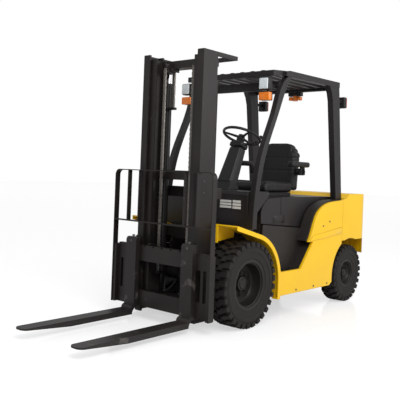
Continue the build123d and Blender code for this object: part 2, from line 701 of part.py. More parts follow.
with BuildPart() as seat_cushion:
    plate(((cushion_front_y, cushion_top_z - 55), (cushion_front_y + 41, cushion_top_z),
           (cushion_rear_y, cushion_top_z - 14), (cushion_rear_y, cushion_bottom_z),
           (cushion_front_y + 18, cushion_bottom_z)), -258, 258)
write(seat_cushion, "seat_cushion")

with BuildPart() as seat_back:
    back_y = cushion_rear_y + seat_gap
    plate(((back_y, 1103), (back_y, 1192), (back_y + 60, 1577), (back_y + 113, 1598), (back_y + 160, 1569),
           (back_y + 118, 1124), (back_y + 102, 1103)), -240, 240)
write(seat_back, "seat_back")

armrest_z = (1333, 1390)
with BuildPart() as armrests:
    for side in (1, -1):
        slab(side * 300, side * 375, cushion_rear_y - 213, cushion_rear_y + 106, *armrest_z)
        plate(((back_y + 26, 1247), (back_y + 76, armrest_z[0] + 5), (back_y + 106, armrest_z[0] + 5), (back_y + 86, 1247)),
              side * (240 + seat_gap), side * 310)
write(armrests, "armrests")

# Overhead guard: bent front pillars, a slatted roof and slanted rear pillars
pillar_inner = guard_half - pillar_width
pillar_top_z = roof_under_z - seat_gap
bracket_x = (440, 460)
lamp_rear_y = 332
with BuildPart() as guard_front:
    for side in (1, -1):
        with BuildSketch(at_x(side * pillar_inner)):
            with BuildLine():
                outer = Spline((77, 795), (79, 853), (190, 1461), (355, 1818), (481, 2084), (533, pillar_top_z))
                inner = Spline((136, 795), (137, 853), (251, 1462), (416, 1818), (524, 2038), (592, pillar_top_z))
                Line(outer @ 0, inner @ 0)
                Line(outer @ 1, inner @ 1)
            make_face()
        extrude(amount=side * pillar_width)
        slab(side * bracket_x[0], side * bracket_x[1], lamp_rear_y + seat_gap, 475, 2010, 2040)
        slab(side * bracket_x[0], side * bracket_x[1], lamp_rear_y + seat_gap, lamp_rear_y + 10, 1900, 2040)
    slab(-pillar_inner, pillar_inner, 475, 500, 2005, 2080)
write(guard_front, "guard_front")

horn_inner = pillar_inner - 30
roof_low_z = roof_top_z - 37
with BuildPart() as guard_roof:
    for side in (1, -1):
        plate(((505, roof_under_z), (505, roof_top_z - 14), (554, roof_top_z), (roof_rear_y, roof_top_z + roof_rise),
               (roof_rear_y, roof_under_z + roof_rise), (620, roof_under_z)), side * pillar_inner, side * guard_half)
        plate(((roof_front_y, 2110), (roof_front_y, 2158), (554, roof_top_z), (554, roof_under_z + 6),
               (470, roof_under_z + 2), (400, 2112)),
              side * horn_inner, side * (pillar_inner + 20))
    slab(-horn_inner, horn_inner, roof_front_y, roof_front_y + 45, 2110, 2158)
    slab(-pillar_inner, pillar_inner, roof_rear_y - 60, roof_rear_y, roof_under_z + roof_rise, roof_top_z + roof_rise)
    for i in range(7):
        x = (i - 3) * 115
        slab(x - 18, x + 18, roof_front_y + 45, roof_rear_y - 60, roof_low_z, roof_top_z - 5)
write(guard_roof, "guard_roof")


def roof_under(y):
    """How high the roof's underside is at a place along the truck, less the seat's gap."""
    return roof_under_z + roof_rise * (y - 620) / (roof_rear_y - 620) - seat_gap


pillar_top_y = (roof_rear_y - 145, roof_rear_y - 6)
pillar_foot_y = (wheelbase - 234, wheelbase - 121)
foot_z = weight_lip_z + seat_gap
with BuildPart() as guard_rear:
    for side in (1, -1):
        plate((*((y, roof_under(y)) for y in (pillar_top_y[0] - 45, pillar_top_y[1])), (pillar_foot_y[1], foot_z),
               (pillar_foot_y[0], foot_z), (pillar_top_y[0] + 19, 2000), (pillar_top_y[0] - 6, 2075)),
              side * (pillar_inner - 10), side * guard_half)
        slab(side * 480, side * 500, roof_rear_y - 22, wheelbase - 139 - seat_gap, 2000, 2030)
    slab(-pillar_inner, pillar_inner, roof_rear_y - 42, roof_rear_y - 6, roof_under_z - 8, roof_under(roof_rear_y - 42))
write(guard_rear, "guard_rear")

# Lamps on the guard
with BuildPart() as headlamps:
    for side in (1, -1):
        slab(side * 400, side * 500, lamp_rear_y - 77, lamp_rear_y, 1978, 2087)
write(headlamps, "headlamps")

with BuildPart() as turn_signals:
    for side in (1, -1):
        slab(side * 394, side * 506, lamp_rear_y - 62, lamp_rear_y, 1888, 1962)
write(turn_signals, "turn_signals")

with BuildPart() as rear_lamps:
    for side in (1, -1):
        slab(side * 430, side * 530, wheelbase - 139, wheelbase - 68, 1950, 2063)
write(rear_lamps, "rear_lamps")

with BuildPart() as rear_beacon:
    slab(-78, 78, roof_rear_y - 6 + seat_gap, roof_rear_y + 54, 2030, roof_under_z + roof_rise - 1)
write(rear_beacon, "rear_beacon")

# Outer mast: channel rails with axle clamps and tilt lugs, and the ties behind them
clamp_x = (rail_outer_x - 37, rail_outer_x - 3)
rail_inner_x = rail_outer_x - rail_width
with BuildPart() as outer_rails:
    for side in (1, -1):
        slab(side * (rail_outer_x - rail_web), side * rail_outer_x, rail_front_y, rail_rear_y, rail_bottom_z, rail_top_z)
        for y in (rail_front_y, rail_rear_y - rail_flange):
            slab(side * rail_inner_x, side * rail_outer_x, y, y + rail_flange, rail_bottom_z, rail_top_z)
        plate(((rail_rear_y, 250), (rail_rear_y, 500), (-60, 440), (0, 440), (0, 262), (-60, 262)),
              side * clamp_x[0], side * clamp_x[1])
        disc(side * clamp_x[0], side * clamp_x[1], 0, front_tyre_r, 95, sides=32)
        disc(side * clamp_x[0], side * clamp_x[1], 0, front_tyre_r, axle_tube_r + pin_gap, mode=Mode.SUBTRACT)
        for x in (tilt_x - 17, tilt_x + 11):
            plate(((rail_rear_y, tilt_pin[1] - 50), (rail_rear_y, tilt_pin[1] + 54), (tilt_pin[0], tilt_pin[1] + 20),
                   (tilt_pin[0] + 15, tilt_pin[1] + 9), (tilt_pin[0] + 15, tilt_pin[1] - 9),
                   (tilt_pin[0], tilt_pin[1] - 20)), side * x, side * (x + 6))
        disc(side * (tilt_x - 17), side * (tilt_x + 17), *tilt_pin, tilt_pin_r)
write(outer_rails, "outer_rails")

tie_y = (lift_y + barrel_r + 4.5, lift_y + barrel_r + 24.5)
top_arm_y = 38
top_arm_z = (rail_top_z - 33, rail_top_z)
with BuildPart() as outer_ties:
    slab(-rail_outer_x + 4, rail_outer_x - 4, rail_rear_y + seat_gap, tie_y[1], rail_bottom_z, 85)
    for z0, z1 in ((690, 790), (1035, 1125)):
        slab(-rail_outer_x, rail_outer_x, tie_y[0], tie_y[1], z0, z1)
        for side in (1, -1):
            slab(side * (rail_outer_x - 32), side * rail_outer_x, rail_rear_y + seat_gap, tie_y[0], z0, z1)
    for side in (1, -1):
        slab(side * (rail_outer_x - 24), side * rail_outer_x, rail_rear_y + seat_gap, top_arm_y, *top_arm_z)
    slab(-rail_outer_x, rail_outer_x, top_arm_y - 36, top_arm_y, *top_arm_z)
write(outer_ties, "outer_ties")

inner_y = (rail_front_y + rail_flange + running_gap, rail_rear_y - rail_flange - running_gap)
inner_outer_x = rail_outer_x - rail_web - running_gap
inner_tie_y = (inner_y[1] + seat_gap, inner_y[1] + 24)
with BuildPart() as lift_barrels:
    for side in (1, -1):
        slab(side * (chain_x - 20), side * lift_x, inner_tie_y[1] + 9, inner_tie_y[1] + 44,
             rear_chain_end_z - 20, rear_chain_end_z)
        post(side * lift_x, lift_y, 85 + seat_gap, barrel_top_z, barrel_r, sides=20)
        post(side * lift_x, lift_y, 140, barrel_top_z - 20, barrel_bore_r, mode=Mode.SUBTRACT, sides=20)
        post(side * lift_x, lift_y, barrel_top_z - 21, barrel_top_z + 5, rod_r + pin_gap, mode=Mode.SUBTRACT, sides=20)
write(lift_barrels, "lift_barrels")

# Inner mast: nested rails, ties, lift rods and chain sheaves
with BuildPart() as inner_rails:
    for side in (1, -1):
        slab(side * inner_web_x, side * (inner_web_x + inner_web), inner_y[0], inner_y[1], inner_bottom_z, inner_top_z)
        for y in (inner_y[0], inner_y[1] - inner_flange):
            slab(side * inner_tip_x, side * inner_outer_x, y, y + inner_flange, inner_bottom_z, inner_top_z)
write(inner_rails, "inner_rails")

top_tie_z = (rail_top_z - tie_drop - tie_height, rail_top_z - tie_drop)
sheave_half = 14
bracket_half = (28, 20)
with BuildPart() as inner_ties:
    for z0, z1 in ((inner_bottom_z + 25, inner_bottom_z + 125), (1180, 1260)):
        slab(-inner_web_x - 14, inner_web_x + 14, inner_tie_y[0], inner_tie_y[1], z0, z1)
    slab(-inner_web_x - 14, inner_web_x + 14, inner_tie_y[0], lift_y, *top_tie_z)
    slab(-lift_x - 26, lift_x + 26, rail_rear_y + running_gap, lift_y + 26, *top_tie_z)
    for side in (1, -1):
        disc(side * (chain_x - sheave_half), side * (chain_x + sheave_half), sheave_y, sheave_z, sheave_r, sides=24)
        disc(side * (chain_x - bracket_half[0]), side * (chain_x + bracket_half[1]), sheave_y, sheave_z, 12, sides=12)
        for x0, x1 in ((chain_x - bracket_half[0], chain_x - sheave_half - 2), (chain_x + sheave_half + 1, chain_x + bracket_half[1])):
            slab(side * x0, side * x1, sheave_y - 14, lift_y, sheave_z - 20, top_tie_z[0] + 5)
write(inner_ties, "inner_ties")

with BuildPart() as lift_rods:
    for side in (1, -1):
        post(side * lift_x, lift_y, 300, top_tie_z[0] - seat_gap, rod_r, sides=20)
write(lift_rods, "lift_rods")


def chain(label, y, z0, z1):
    """Two strands with a waist between each pair of links."""
    count = int((z1 - z0) / chain_pitch)
    step = (z1 - z0) / count
    half = chain_thick / 2
    front = []
    back = []
    for i in range(count):
        z = z0 + i * step
        front += [(y - half, z), (y - half, z + step * 0.7), (y - half + 4, z + step * 0.85)]
        back += [(y + half, z), (y + half, z + step * 0.7), (y + half - 4, z + step * 0.85)]
    front.append((y - half, z1))
    back.append((y + half, z1))
    with BuildPart() as strands:
        for side in (1, -1):
            plate(front + back[::-1], side * (chain_x - chain_width / 2), side * (chain_x + chain_width / 2))
    write(strands, label)


strand_reach = sheave_r + chain_thick / 2 + seat_gap
chain("chain_front", sheave_y - strand_reach, front_chain_end_z + seat_gap, sheave_z)
chain("chain_rear", sheave_y + strand_reach, rear_chain_end_z + seat_gap, sheave_z)

# Carriage: notched fork bars, end plates, roller plates and rollers
roller_y = (inner_y[0] + inner_y[1]) / 2
roller_plate_x = (inner_tip_x - 30, inner_tip_x - 8)
end_plate_width = 28
with BuildPart() as carriage:
    bar_rear_y = bar_front_y + bar_thick
    for z0, z1 in (upper_bar_z, lower_bar_z):
        slab(-bar_half, bar_half, bar_front_y, bar_rear_y, z0, z1)
    for i in range(9):
        x = (i - 4) * 100
        slab(x - 9, x + 9, bar_front_y - 1, bar_front_y + 16, upper_bar_z[1] - 14, upper_bar_z[1] + 1, mode=Mode.SUBTRACT)
    for side in (1, -1):
        for x in (bar_half, bar_half - 60):
            slab(side * (x - end_plate_width), side * x, bar_front_y, bar_rear_y, lower_bar_z[1], upper_bar_z[0])
        plate(((bar_rear_y, lower_bar_z[0]), (bar_rear_y, upper_bar_z[1] + 14), (roller_y - 20, upper_bar_z[1] + 14),
               (inner_tie_y[0] - 20, upper_bar_z[1] - 30), (inner_tie_y[0] - 20, 160), (roller_y, lower_bar_z[0])),
              side * roller_plate_x[0], side * roller_plate_x[1])
        for z in (190, 555):
            disc(side * roller_plate_x[1], side * (inner_web_x - running_gap), roller_y, z, roller_r, sides=24)
        slab(side * (chain_x - 20), side * roller_plate_x[0], sheave_y - strand_reach - 10, inner_tie_y[0] - running_gap,
             front_chain_end_z - 22, front_chain_end_z)
write(carriage, "carriage")

with BuildPart() as backrest:
    y0 = bar_front_y - 40
    y1 = y0 + backrest_depth
    low_z = lower_bar_z[0]
    with BuildSketch(at_y(y1)):
        with Locations((0, backrest_top_z / 2)):
            RectangleRounded(2 * backrest_x, backrest_top_z, 50)
        with Locations((0, backrest_top_z / 2)):
            RectangleRounded(2 * (backrest_x - backrest_thick), backrest_top_z - 2 * backrest_thick, 50 - backrest_thick,
                             mode=Mode.SUBTRACT)
        with Locations((0, low_z / 2)):
            Rectangle(2 * backrest_x + 20, low_z, mode=Mode.SUBTRACT)
    extrude(amount=backrest_depth)
    inside = backrest_x - backrest_thick / 2
    slab(-inside, inside, y0, y0 + upright_depth, backrest_mid_z - 5, backrest_mid_z + 5)
    for x in (-388, -256, 256, 388):
        slab(x - 5, x + 5, y0, y0 + upright_depth, backrest_mid_z, backrest_top_z - 2)
    for side in (1, -1):
        slab(side * (bar_half + seat_gap), side * inside, y0 + 8, bar_front_y + 28, low_z, 610)
write(backrest, "backrest")

# Forks: a hooked shank, a bend and a tapered blade
heel_r = 60
tip_thick = 12
taper_long = 420
with BuildPart() as fork_left:
    shank_rear = bar_front_y - seat_gap
    shank_front = shank_rear - fork_thick
    blade_low = fork_top_z - fork_thick
    with BuildSketch(at_x(fork_x - fork_width / 2)):
        with BuildLine():
            Polyline((shank_rear, shank_top_z), (shank_front + 14, shank_top_z), (shank_front, shank_top_z - 20),
                     (shank_front, fork_top_z + 30))
            RadiusArc((shank_front, fork_top_z + 30), (shank_front - 30, fork_top_z), -30)
            Polyline((shank_front - 30, fork_top_z), (-fork_tip_reach, fork_top_z),
                     (-fork_tip_reach, fork_top_z - tip_thick), (-fork_tip_reach + taper_long, blade_low),
                     (shank_rear - heel_r, blade_low))
            RadiusArc((shank_rear - heel_r, blade_low), (shank_rear, blade_low + heel_r), heel_r)
            Line((shank_rear, blade_low + heel_r), (shank_rear, shank_top_z))
        make_face()
    extrude(amount=fork_width)
    tip = fork_left.faces().sort_by(Axis.Y)[0]
    fillet(tip.edges().filter_by(Axis.Z), 45)
write(fork_left, "fork_left")

with BuildPart() as fork_right:
    add(mirror(fork_left.part, about=Plane.YZ))
write(fork_right, "fork_right")

# Tilt cylinders: barrels on the frame and rods to the mast
tilt_dy = tilt_pin[0] - tilt_anchor[0]
tilt_dz = tilt_pin[1] - tilt_anchor[1]
tilt_length = hypot(tilt_dy, tilt_dz)
tilt_dir = (0, tilt_dy / tilt_length, tilt_dz / tilt_length)
tilt_barrel_r = 28
tilt_barrel_len = 330
tilt_rod_r = 16
eye_r = 26
eye_gap = 2.5


def tilt_plane(side, along):
    origin = (side * tilt_x, front_axle_y + tilt_anchor[0] + tilt_dir[1] * along, tilt_anchor[1] + tilt_dir[2] * along)
    return Plane(origin=origin, x_dir=(1, 0, 0), z_dir=tilt_dir)


with BuildPart() as tilt_barrels:
    for side in (1, -1):
        disc(side * (tilt_x - 12), side * (tilt_x + 12), *tilt_anchor, eye_r, sides=20)
        with BuildSketch(tilt_plane(side, 14)):
            Rectangle(24, 40)
        extrude(amount=30)
        turned(tilt_plane(side, 0), ((40, tilt_barrel_r), (tilt_barrel_len, tilt_barrel_r)), 20)
        turned(tilt_plane(side, 0), ((60, tilt_rod_r + pin_gap), (tilt_barrel_len + 1, tilt_rod_r + pin_gap)), 20,
               mode=Mode.SUBTRACT)
        disc(side * (tilt_x - 13), side * (tilt_x + 13), *tilt_anchor, tilt_pin_r + pin_gap, mode=Mode.SUBTRACT)
write(tilt_barrels, "tilt_barrels")

with BuildPart() as tilt_rods:
    for side in (1, -1):
        turned(tilt_plane(side, 0), ((140, tilt_rod_r), (tilt_length - 24, tilt_rod_r)), 20)
        disc(side * (tilt_x - 10), side * (tilt_x + 10), *tilt_pin, eye_r, sides=20)
        disc(side * (tilt_x - 11), side * (tilt_x + 11), *tilt_pin, tilt_pin_r + eye_gap, mode=Mode.SUBTRACT, sides=20)
write(tilt_rods, "tilt_rods")
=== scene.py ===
# %% [markdown]
# # A forklift truck, dressed for the camera
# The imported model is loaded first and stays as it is. The front axle, the wheels, the chain and the
# steering wheel's size come from its boxes. Other lengths are written in millimetres from the front
# axle, as a truck's drawing gives them, and turned into metres by one helper.

import json
import math

import bmesh
import bpy
from mathutils import Matrix, Vector


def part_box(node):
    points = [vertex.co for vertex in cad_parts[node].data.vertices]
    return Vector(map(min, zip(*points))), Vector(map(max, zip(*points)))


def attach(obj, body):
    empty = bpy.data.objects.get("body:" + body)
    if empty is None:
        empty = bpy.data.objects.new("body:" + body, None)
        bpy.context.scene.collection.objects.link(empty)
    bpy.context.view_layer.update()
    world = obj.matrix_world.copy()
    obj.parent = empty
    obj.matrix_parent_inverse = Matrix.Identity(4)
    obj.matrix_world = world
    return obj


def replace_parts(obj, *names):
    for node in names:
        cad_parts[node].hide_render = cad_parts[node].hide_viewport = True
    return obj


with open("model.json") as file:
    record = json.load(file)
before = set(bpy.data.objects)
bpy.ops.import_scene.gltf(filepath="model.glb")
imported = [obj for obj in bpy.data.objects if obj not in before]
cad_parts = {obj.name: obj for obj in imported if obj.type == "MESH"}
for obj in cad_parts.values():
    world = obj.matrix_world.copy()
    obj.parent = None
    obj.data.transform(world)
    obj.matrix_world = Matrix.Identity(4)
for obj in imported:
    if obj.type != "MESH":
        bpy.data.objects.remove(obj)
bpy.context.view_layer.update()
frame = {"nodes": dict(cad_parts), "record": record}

# %% Places, measured from the front axle
MM = 0.001
tyre_low, tyre_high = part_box("front_tyre_left")
axle_y = (tyre_low.y + tyre_high.y) / 2
body_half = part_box("side_panels")[1].x / MM


def at(x, y, z):
    """A place in metres from millimetres: left, back from the front axle, up."""
    return Vector((x * MM, axle_y + y * MM, z * MM))


print("front axle at y =", round(axle_y, 4), "body half width", round(body_half, 1), "mm")

# %% [markdown]
# The camera stands in front of the truck and to its left, a little above the hood, and is rolled
# by about two degrees. It could be aimed with a Track To constraint, but a constraint can't roll
# to a given angle, so the three axes of the view are written down as a matrix.

# %% Camera
scene = bpy.context.scene
view_yaw = math.radians(40.65)
view_roll = math.radians(2.21)
eye = at(3564, -4134, 1253)
sensor_mm = 36
picture_px = 400
focal_px = 627.4
camera_data = bpy.data.cameras.new("camera")
camera = bpy.data.objects.new("camera", camera_data)
scene.collection.objects.link(camera)
scene.camera = camera
ahead = Vector((-math.sin(view_yaw), math.cos(view_yaw), 0))
level_right = Vector((math.cos(view_yaw), math.sin(view_yaw), 0))
up = Vector((0, 0, 1))
view_right = level_right * math.cos(view_roll) + up * math.sin(view_roll)
view_up = up * math.cos(view_roll) - level_right * math.sin(view_roll)
turn = Matrix((view_right, view_up, -ahead)).transposed().to_4x4()
camera.matrix_world = Matrix.Translation(eye) @ turn
camera_data.sensor_width = sensor_mm
camera_data.lens = focal_px / picture_px * sensor_mm
camera_data.shift_x = -0.0035
camera_data.shift_y = -0.0698
camera_data.clip_end = 200
print("lens", round(camera_data.lens, 1), "mm")

# %% [markdown]
# A studio picture has a white floor that runs out of sight and soft light from all round. The
# world gives the even part. A large lamp in front and a weaker one at the side give the shading
# that shows where a panel turns.

# %% Light and background
scene.view_settings.view_transform = "Standard"
world = bpy.data.worlds.new("studio")
scene.world = world
world.use_nodes = True
tree = world.node_tree
tree.nodes.clear()
out = tree.nodes.new("ShaderNodeOutputWorld")
even = tree.nodes.new("ShaderNodeBackground")
even.inputs["Color"].default_value = (1, 1, 1, 1)
even.inputs["Strength"].default_value = 0.62
white = tree.nodes.new("ShaderNodeBackground")
white.inputs["Color"].default_value = (1, 1, 1, 1)
white.inputs["Strength"].default_value = 1.0
seen = tree.nodes.new("ShaderNodeLightPath")
either = tree.nodes.new("ShaderNodeMath")
either.operation = "MAXIMUM"
tree.links.new(seen.outputs["Is Camera Ray"], either.inputs[0])
tree.links.new(seen.outputs["Is Transmission Ray"], either.inputs[1])
blend = tree.nodes.new("ShaderNodeMixShader")
tree.links.new(either.outputs[0], blend.inputs[0])
tree.links.new(even.outputs[0], blend.inputs[1])
tree.links.new(white.outputs[0], blend.inputs[2])
tree.links.new(blend.outputs[0], out.inputs["Surface"])


def area_lamp(name, place, target, size, power):
    """A square lamp that faces a target."""
    data = bpy.data.lights.new(name, "AREA")
    data.size = size
    data.energy = power
    lamp = bpy.data.objects.new(name, data)
    scene.collection.objects.link(lamp)
    lamp.location = place
    lamp.rotation_euler = (target - place).to_track_quat("-Z", "Y").to_euler()


middle = at(0, 300, 1000)
area_lamp("key", at(3800, -2600, 4600), middle, 3.0, 190)
area_lamp("side", at(4200, 2600, 2600), middle, 2.5, 60)
print("world and two lamps")

# %% [markdown]
# The floor is a glossy white sheet, so the truck is mirrored faintly and keeps its shadow. A
# little glow, seen only by the camera, lifts it to the white of the background.

# %% Floor
floor_half = 40
glow_share = 0.36
bm = bmesh.new()
bmesh.ops.create_grid(bm, x_segments=1, y_segments=1, size=floor_half)
floor_mesh = bpy.data.meshes.new("floor")
bm.to_mesh(floor_mesh)
bm.free()
floor = bpy.data.objects.new("floor", floor_mesh)
scene.collection.objects.link(floor)
floor_paint = bpy.data.materials.new("floor_paint")
floor_paint.use_nodes = True
nodes, links = floor_paint.node_tree.nodes, floor_paint.node_tree.links
shader = nodes["Principled BSDF"]
shader.inputs["Base Color"].default_value = (0.93, 0.93, 0.93, 1)
shader.inputs["Roughness"].default_value = 0.10
glow = nodes.new("ShaderNodeEmission")
glow.inputs["Strength"].default_value = 1.6
mix = nodes.new("ShaderNodeMixShader")
path = nodes.new("ShaderNodeLightPath")
part = nodes.new("ShaderNodeMath")
part.operation = "MULTIPLY"
part.inputs[1].default_value = glow_share
links.new(path.outputs["Is Camera Ray"], part.inputs[0])
links.new(part.outputs[0], mix.inputs[0])
links.new(shader.outputs[0], mix.inputs[1])
links.new(glow.outputs[0], mix.inputs[2])
links.new(mix.outputs[0], nodes["Material Output"].inputs["Surface"])
floor_mesh.materials.append(floor_paint)
print("floor", round(floor.dimensions.x), "m across")

# %% [markdown]
# Paint, plastic, rubber and steel differ in four things that show: how the colour drifts, how
# glossy they are, how rough the skin is, and how an edge catches light. One function makes them
# all from noise in Object coordinates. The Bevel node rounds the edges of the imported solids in
# the shading alone, so a sharp plate edge gets its thin bright line and its mesh isn't touched.

# %% Finishes
gloss_drift = 0.08


def finish(name, colour, rough, metal=0.0, coat=0.0, drift=0.06, drift_size=3.0,
           skin=0.02, skin_size=250.0, edge=2.0, worn=None):
    """A procedural surface: linear colour, skin depth and edge radius in millimetres.

    worn is (colour, scale, share from which it shows).
    """
    material = bpy.data.materials.new(name)
    material.use_nodes = True
    nodes, links = material.node_tree.nodes, material.node_tree.links
    shader = nodes["Principled BSDF"]
    shader.inputs["Metallic"].default_value = metal
    shader.inputs["Coat Weight"].default_value = coat
    shader.inputs["Specular IOR Level"].default_value = 0.3
    shader.inputs["Coat Roughness"].default_value = 0.08
    place = nodes.new("ShaderNodeTexCoord")
    broad = nodes.new("ShaderNodeTexNoise")
    broad.inputs["Scale"].default_value = drift_size
    broad.inputs["Detail"].default_value = 4
    links.new(place.outputs["Object"], broad.inputs["Vector"])
    ramp = nodes.new("ShaderNodeValToRGB")
    ramp.color_ramp.elements[0].position = 0.3
    ramp.color_ramp.elements[1].position = 0.7
    ramp.color_ramp.elements[0].color = tuple(c * (1 - drift) for c in colour) + (1,)
    ramp.color_ramp.elements[1].color = tuple(min(1.0, c * (1 + drift)) for c in colour) + (1,)
    links.new(broad.outputs["Fac"], ramp.inputs["Fac"])
    base = ramp.outputs["Color"]
    if worn:
        bare_colour, scuff_scale, threshold = worn
        scuff = nodes.new("ShaderNodeTexNoise")
        scuff.inputs["Scale"].default_value = scuff_scale
        scuff.inputs["Detail"].default_value = 8
        links.new(place.outputs["Object"], scuff.inputs["Vector"])
        limit = nodes.new("ShaderNodeMapRange")
        limit.inputs["From Min"].default_value = threshold
        limit.inputs["From Max"].default_value = threshold + 0.08
        links.new(scuff.outputs["Fac"], limit.inputs["Value"])
        mixed = nodes.new("ShaderNodeMix")
        mixed.data_type = "RGBA"
        mixed.inputs["B"].default_value = bare_colour + (1,)
        links.new(limit.outputs["Result"], mixed.inputs["Factor"])
        links.new(base, mixed.inputs["A"])
        base = mixed.outputs["Result"]
    links.new(base, shader.inputs["Base Color"])
    gloss = nodes.new("ShaderNodeMapRange")
    gloss.inputs["To Min"].default_value = max(0.02, rough - gloss_drift)
    gloss.inputs["To Max"].default_value = min(1.0, rough + gloss_drift)
    links.new(broad.outputs["Fac"], gloss.inputs["Value"])
    links.new(gloss.outputs["Result"], shader.inputs["Roughness"])
    fine = nodes.new("ShaderNodeTexNoise")
    fine.inputs["Scale"].default_value = skin_size
    fine.inputs["Detail"].default_value = 2
    links.new(place.outputs["Object"], fine.inputs["Vector"])
    bump = nodes.new("ShaderNodeBump")
    bump.inputs["Strength"].default_value = 0.5
    bump.inputs["Distance"].default_value = skin * MM
    links.new(fine.outputs["Fac"], bump.inputs["Height"])
    if edge:
        rounded = nodes.new("ShaderNodeBevel")
        rounded.samples = 6
        rounded.inputs["Radius"].default_value = edge * MM
        links.new(rounded.outputs["Normal"], bump.inputs["Normal"])
    links.new(bump.outputs["Normal"], shader.inputs["Normal"])
    return material


finishes = {
    "body_yellow": dict(colour=(0.88, 0.53, 0.006), rough=0.30, coat=0.2, drift=0.03, edge=9),
    "fender_yellow": dict(colour=(0.88, 0.52, 0.006), rough=0.30, coat=0.2, drift=0.03, edge=5),
    "frame_paint": dict(colour=(0.020, 0.017, 0.015), rough=0.5, drift=0.15, skin=0.15, edge=3),
    "charcoal_paint": dict(colour=(0.016, 0.014, 0.014), rough=0.38, drift=0.1, skin=0.1,
                           skin_size=500, edge=6),
    "mast_paint": dict(colour=(0.015, 0.012, 0.011), rough=0.42, drift=0.2, skin=0.1, edge=2.5,
                       worn=((0.10, 0.095, 0.09), 14.0, 0.68)),
    "fork_paint": dict(colour=(0.018, 0.015, 0.014), rough=0.45, drift=0.25, skin=0.2, edge=3,
                       worn=((0.075, 0.068, 0.062), 9.0, 0.60)),
    "cylinder_paint": dict(colour=(0.014, 0.013, 0.012), rough=0.35, edge=2),
    "tilt_paint": dict(colour=(0.20, 0.13, 0.035), rough=0.4, metal=0.5, edge=2),
    "rod_chrome": dict(colour=(0.75, 0.75, 0.76), rough=0.12, metal=1.0, drift=0.04, skin=0.0, edge=1),
    "chain_steel": dict(colour=(0.26, 0.24, 0.22), rough=0.4, metal=0.8, drift=0.3, drift_size=90,
                        skin=0.8, skin_size=160, edge=1),
    "rim_paint": dict(colour=(0.010, 0.009, 0.008), rough=0.45, drift=0.2, edge=3),
    "tyre_rubber": dict(colour=(0.014, 0.012, 0.011), rough=0.72, drift=0.25, drift_size=9,
                        skin=0.4, skin_size=300, edge=0),
    "axle_paint": dict(colour=(0.018, 0.016, 0.015), rough=0.55, skin=0.4, skin_size=160, edge=3),
    "engine_iron": dict(colour=(0.04, 0.038, 0.036), rough=0.6, skin=0.6, skin_size=120, edge=4),
    "floor_mat": dict(colour=(0.013, 0.012, 0.012), rough=0.8, skin=0.6, skin_size=420, edge=2),
    "black_plastic": dict(colour=(0.013, 0.012, 0.012), rough=0.45, skin=0.25, skin_size=900, edge=4),
    "lever_steel": dict(colour=(0.10, 0.10, 0.10), rough=0.35, metal=0.6, edge=1),
    "seat_vinyl": dict(colour=(0.012, 0.011, 0.011), rough=0.48, drift=0.12, skin=0.35,
                       skin_size=700, edge=0),
    "lamp_lens": dict(colour=(0.62, 0.66, 0.68), rough=0.12, coat=0.8, drift=0.08, drift_size=40, edge=2),
    "amber_lens": dict(colour=(0.80, 0.20, 0.012), rough=0.18, coat=0.6, drift=0.08, drift_size=40,
                       edge=2),
    "red_lens": dict(colour=(0.42, 0.02, 0.012), rough=0.18, coat=0.6, drift=0.08, drift_size=40, edge=2),
}
looks = {name: finish(name, **how) for name, how in finishes.items()}
slot_of = {row["node"]: row["material_slot"] for row in frame["record"]["subparts"]}
for name, node in frame["nodes"].items():
    for slot in node.material_slots:
        slot.material = looks[slot_of[name]]
print("finishes", len(looks))

# %% [markdown]
# Every new hard piece ends the same way: doubles merged, normals made to point outwards, a material
# and its slot, smooth shading with sharp edges kept, and a body to ride on.

# %% How a piece is finished


def piece(bm, name, body, slot, sharp=35, look=None):
    """Turns a bmesh into a piece that rides on a body."""
    bmesh.ops.remove_doubles(bm, verts=bm.verts, dist=0.00002)
    bmesh.ops.recalc_face_normals(bm, faces=bm.faces)
    mesh = bpy.data.meshes.new(name)
    bm.to_mesh(mesh)
    bm.free()
    mesh.materials.append(look or looks[slot])
    mesh.shade_smooth()
    mesh.set_sharp_from_angle(angle=math.radians(sharp))
    made = bpy.data.objects.new(name, mesh)
    scene.collection.objects.link(made)
    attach(made, body)
    return made


def lathe(bm, profile, centre, steps, side=1):
    """Spins (along the axle, radius) points about a cross axle."""
    verts = [bm.verts.new(centre + Vector((side * x * MM, 0, r * MM))) for x, r in profile]
    edges = [bm.edges.new(pair) for pair in zip(verts, verts[1:])]
    bmesh.ops.spin(bm, geom=verts + edges, cent=centre, axis=(1, 0, 0), dvec=(0, 0, 0), angle=math.tau,
                   steps=steps, use_merge=True, use_duplicate=False)


def rounded_off(bm, edges, width, segments):
    """Bevels edges by a width in millimetres."""
    return bmesh.ops.bevel(bm, geom=edges, offset=width * MM, segments=segments, profile=0.5,
                           affect="EDGES", material=-1)


def copied_round(bm, verts, centre, copies):
    """Copies a closed shape round a cross axle, so that there are as many as copies says."""
    geom = verts + list({e for v in verts for e in v.link_edges})
    geom += list({f for v in verts for f in v.link_faces})
    bmesh.ops.spin(bm, geom=geom, cent=centre, axis=(1, 0, 0), dvec=(0, 0, 0),
                   angle=math.tau * (copies - 1) / copies, steps=copies - 1, use_merge=False,
                   use_duplicate=True)


def block(bm, low, high, bevel=0.0, segments=2):
    """A box between two corners in millimetres, with its edges bevelled."""
    made = bmesh.ops.create_cube(bm, size=1.0)["verts"]
    size = Vector([(b - a) * MM for a, b in zip(low, high)])
    bmesh.ops.scale(bm, vec=size, verts=made)
    bmesh.ops.translate(bm, vec=at(*[(a + b) / 2 for a, b in zip(low, high)]), verts=made)
    if bevel:
        edges = list({e for v in made for e in v.link_edges})
        rounded_off(bm, edges, bevel, segments)
    return made


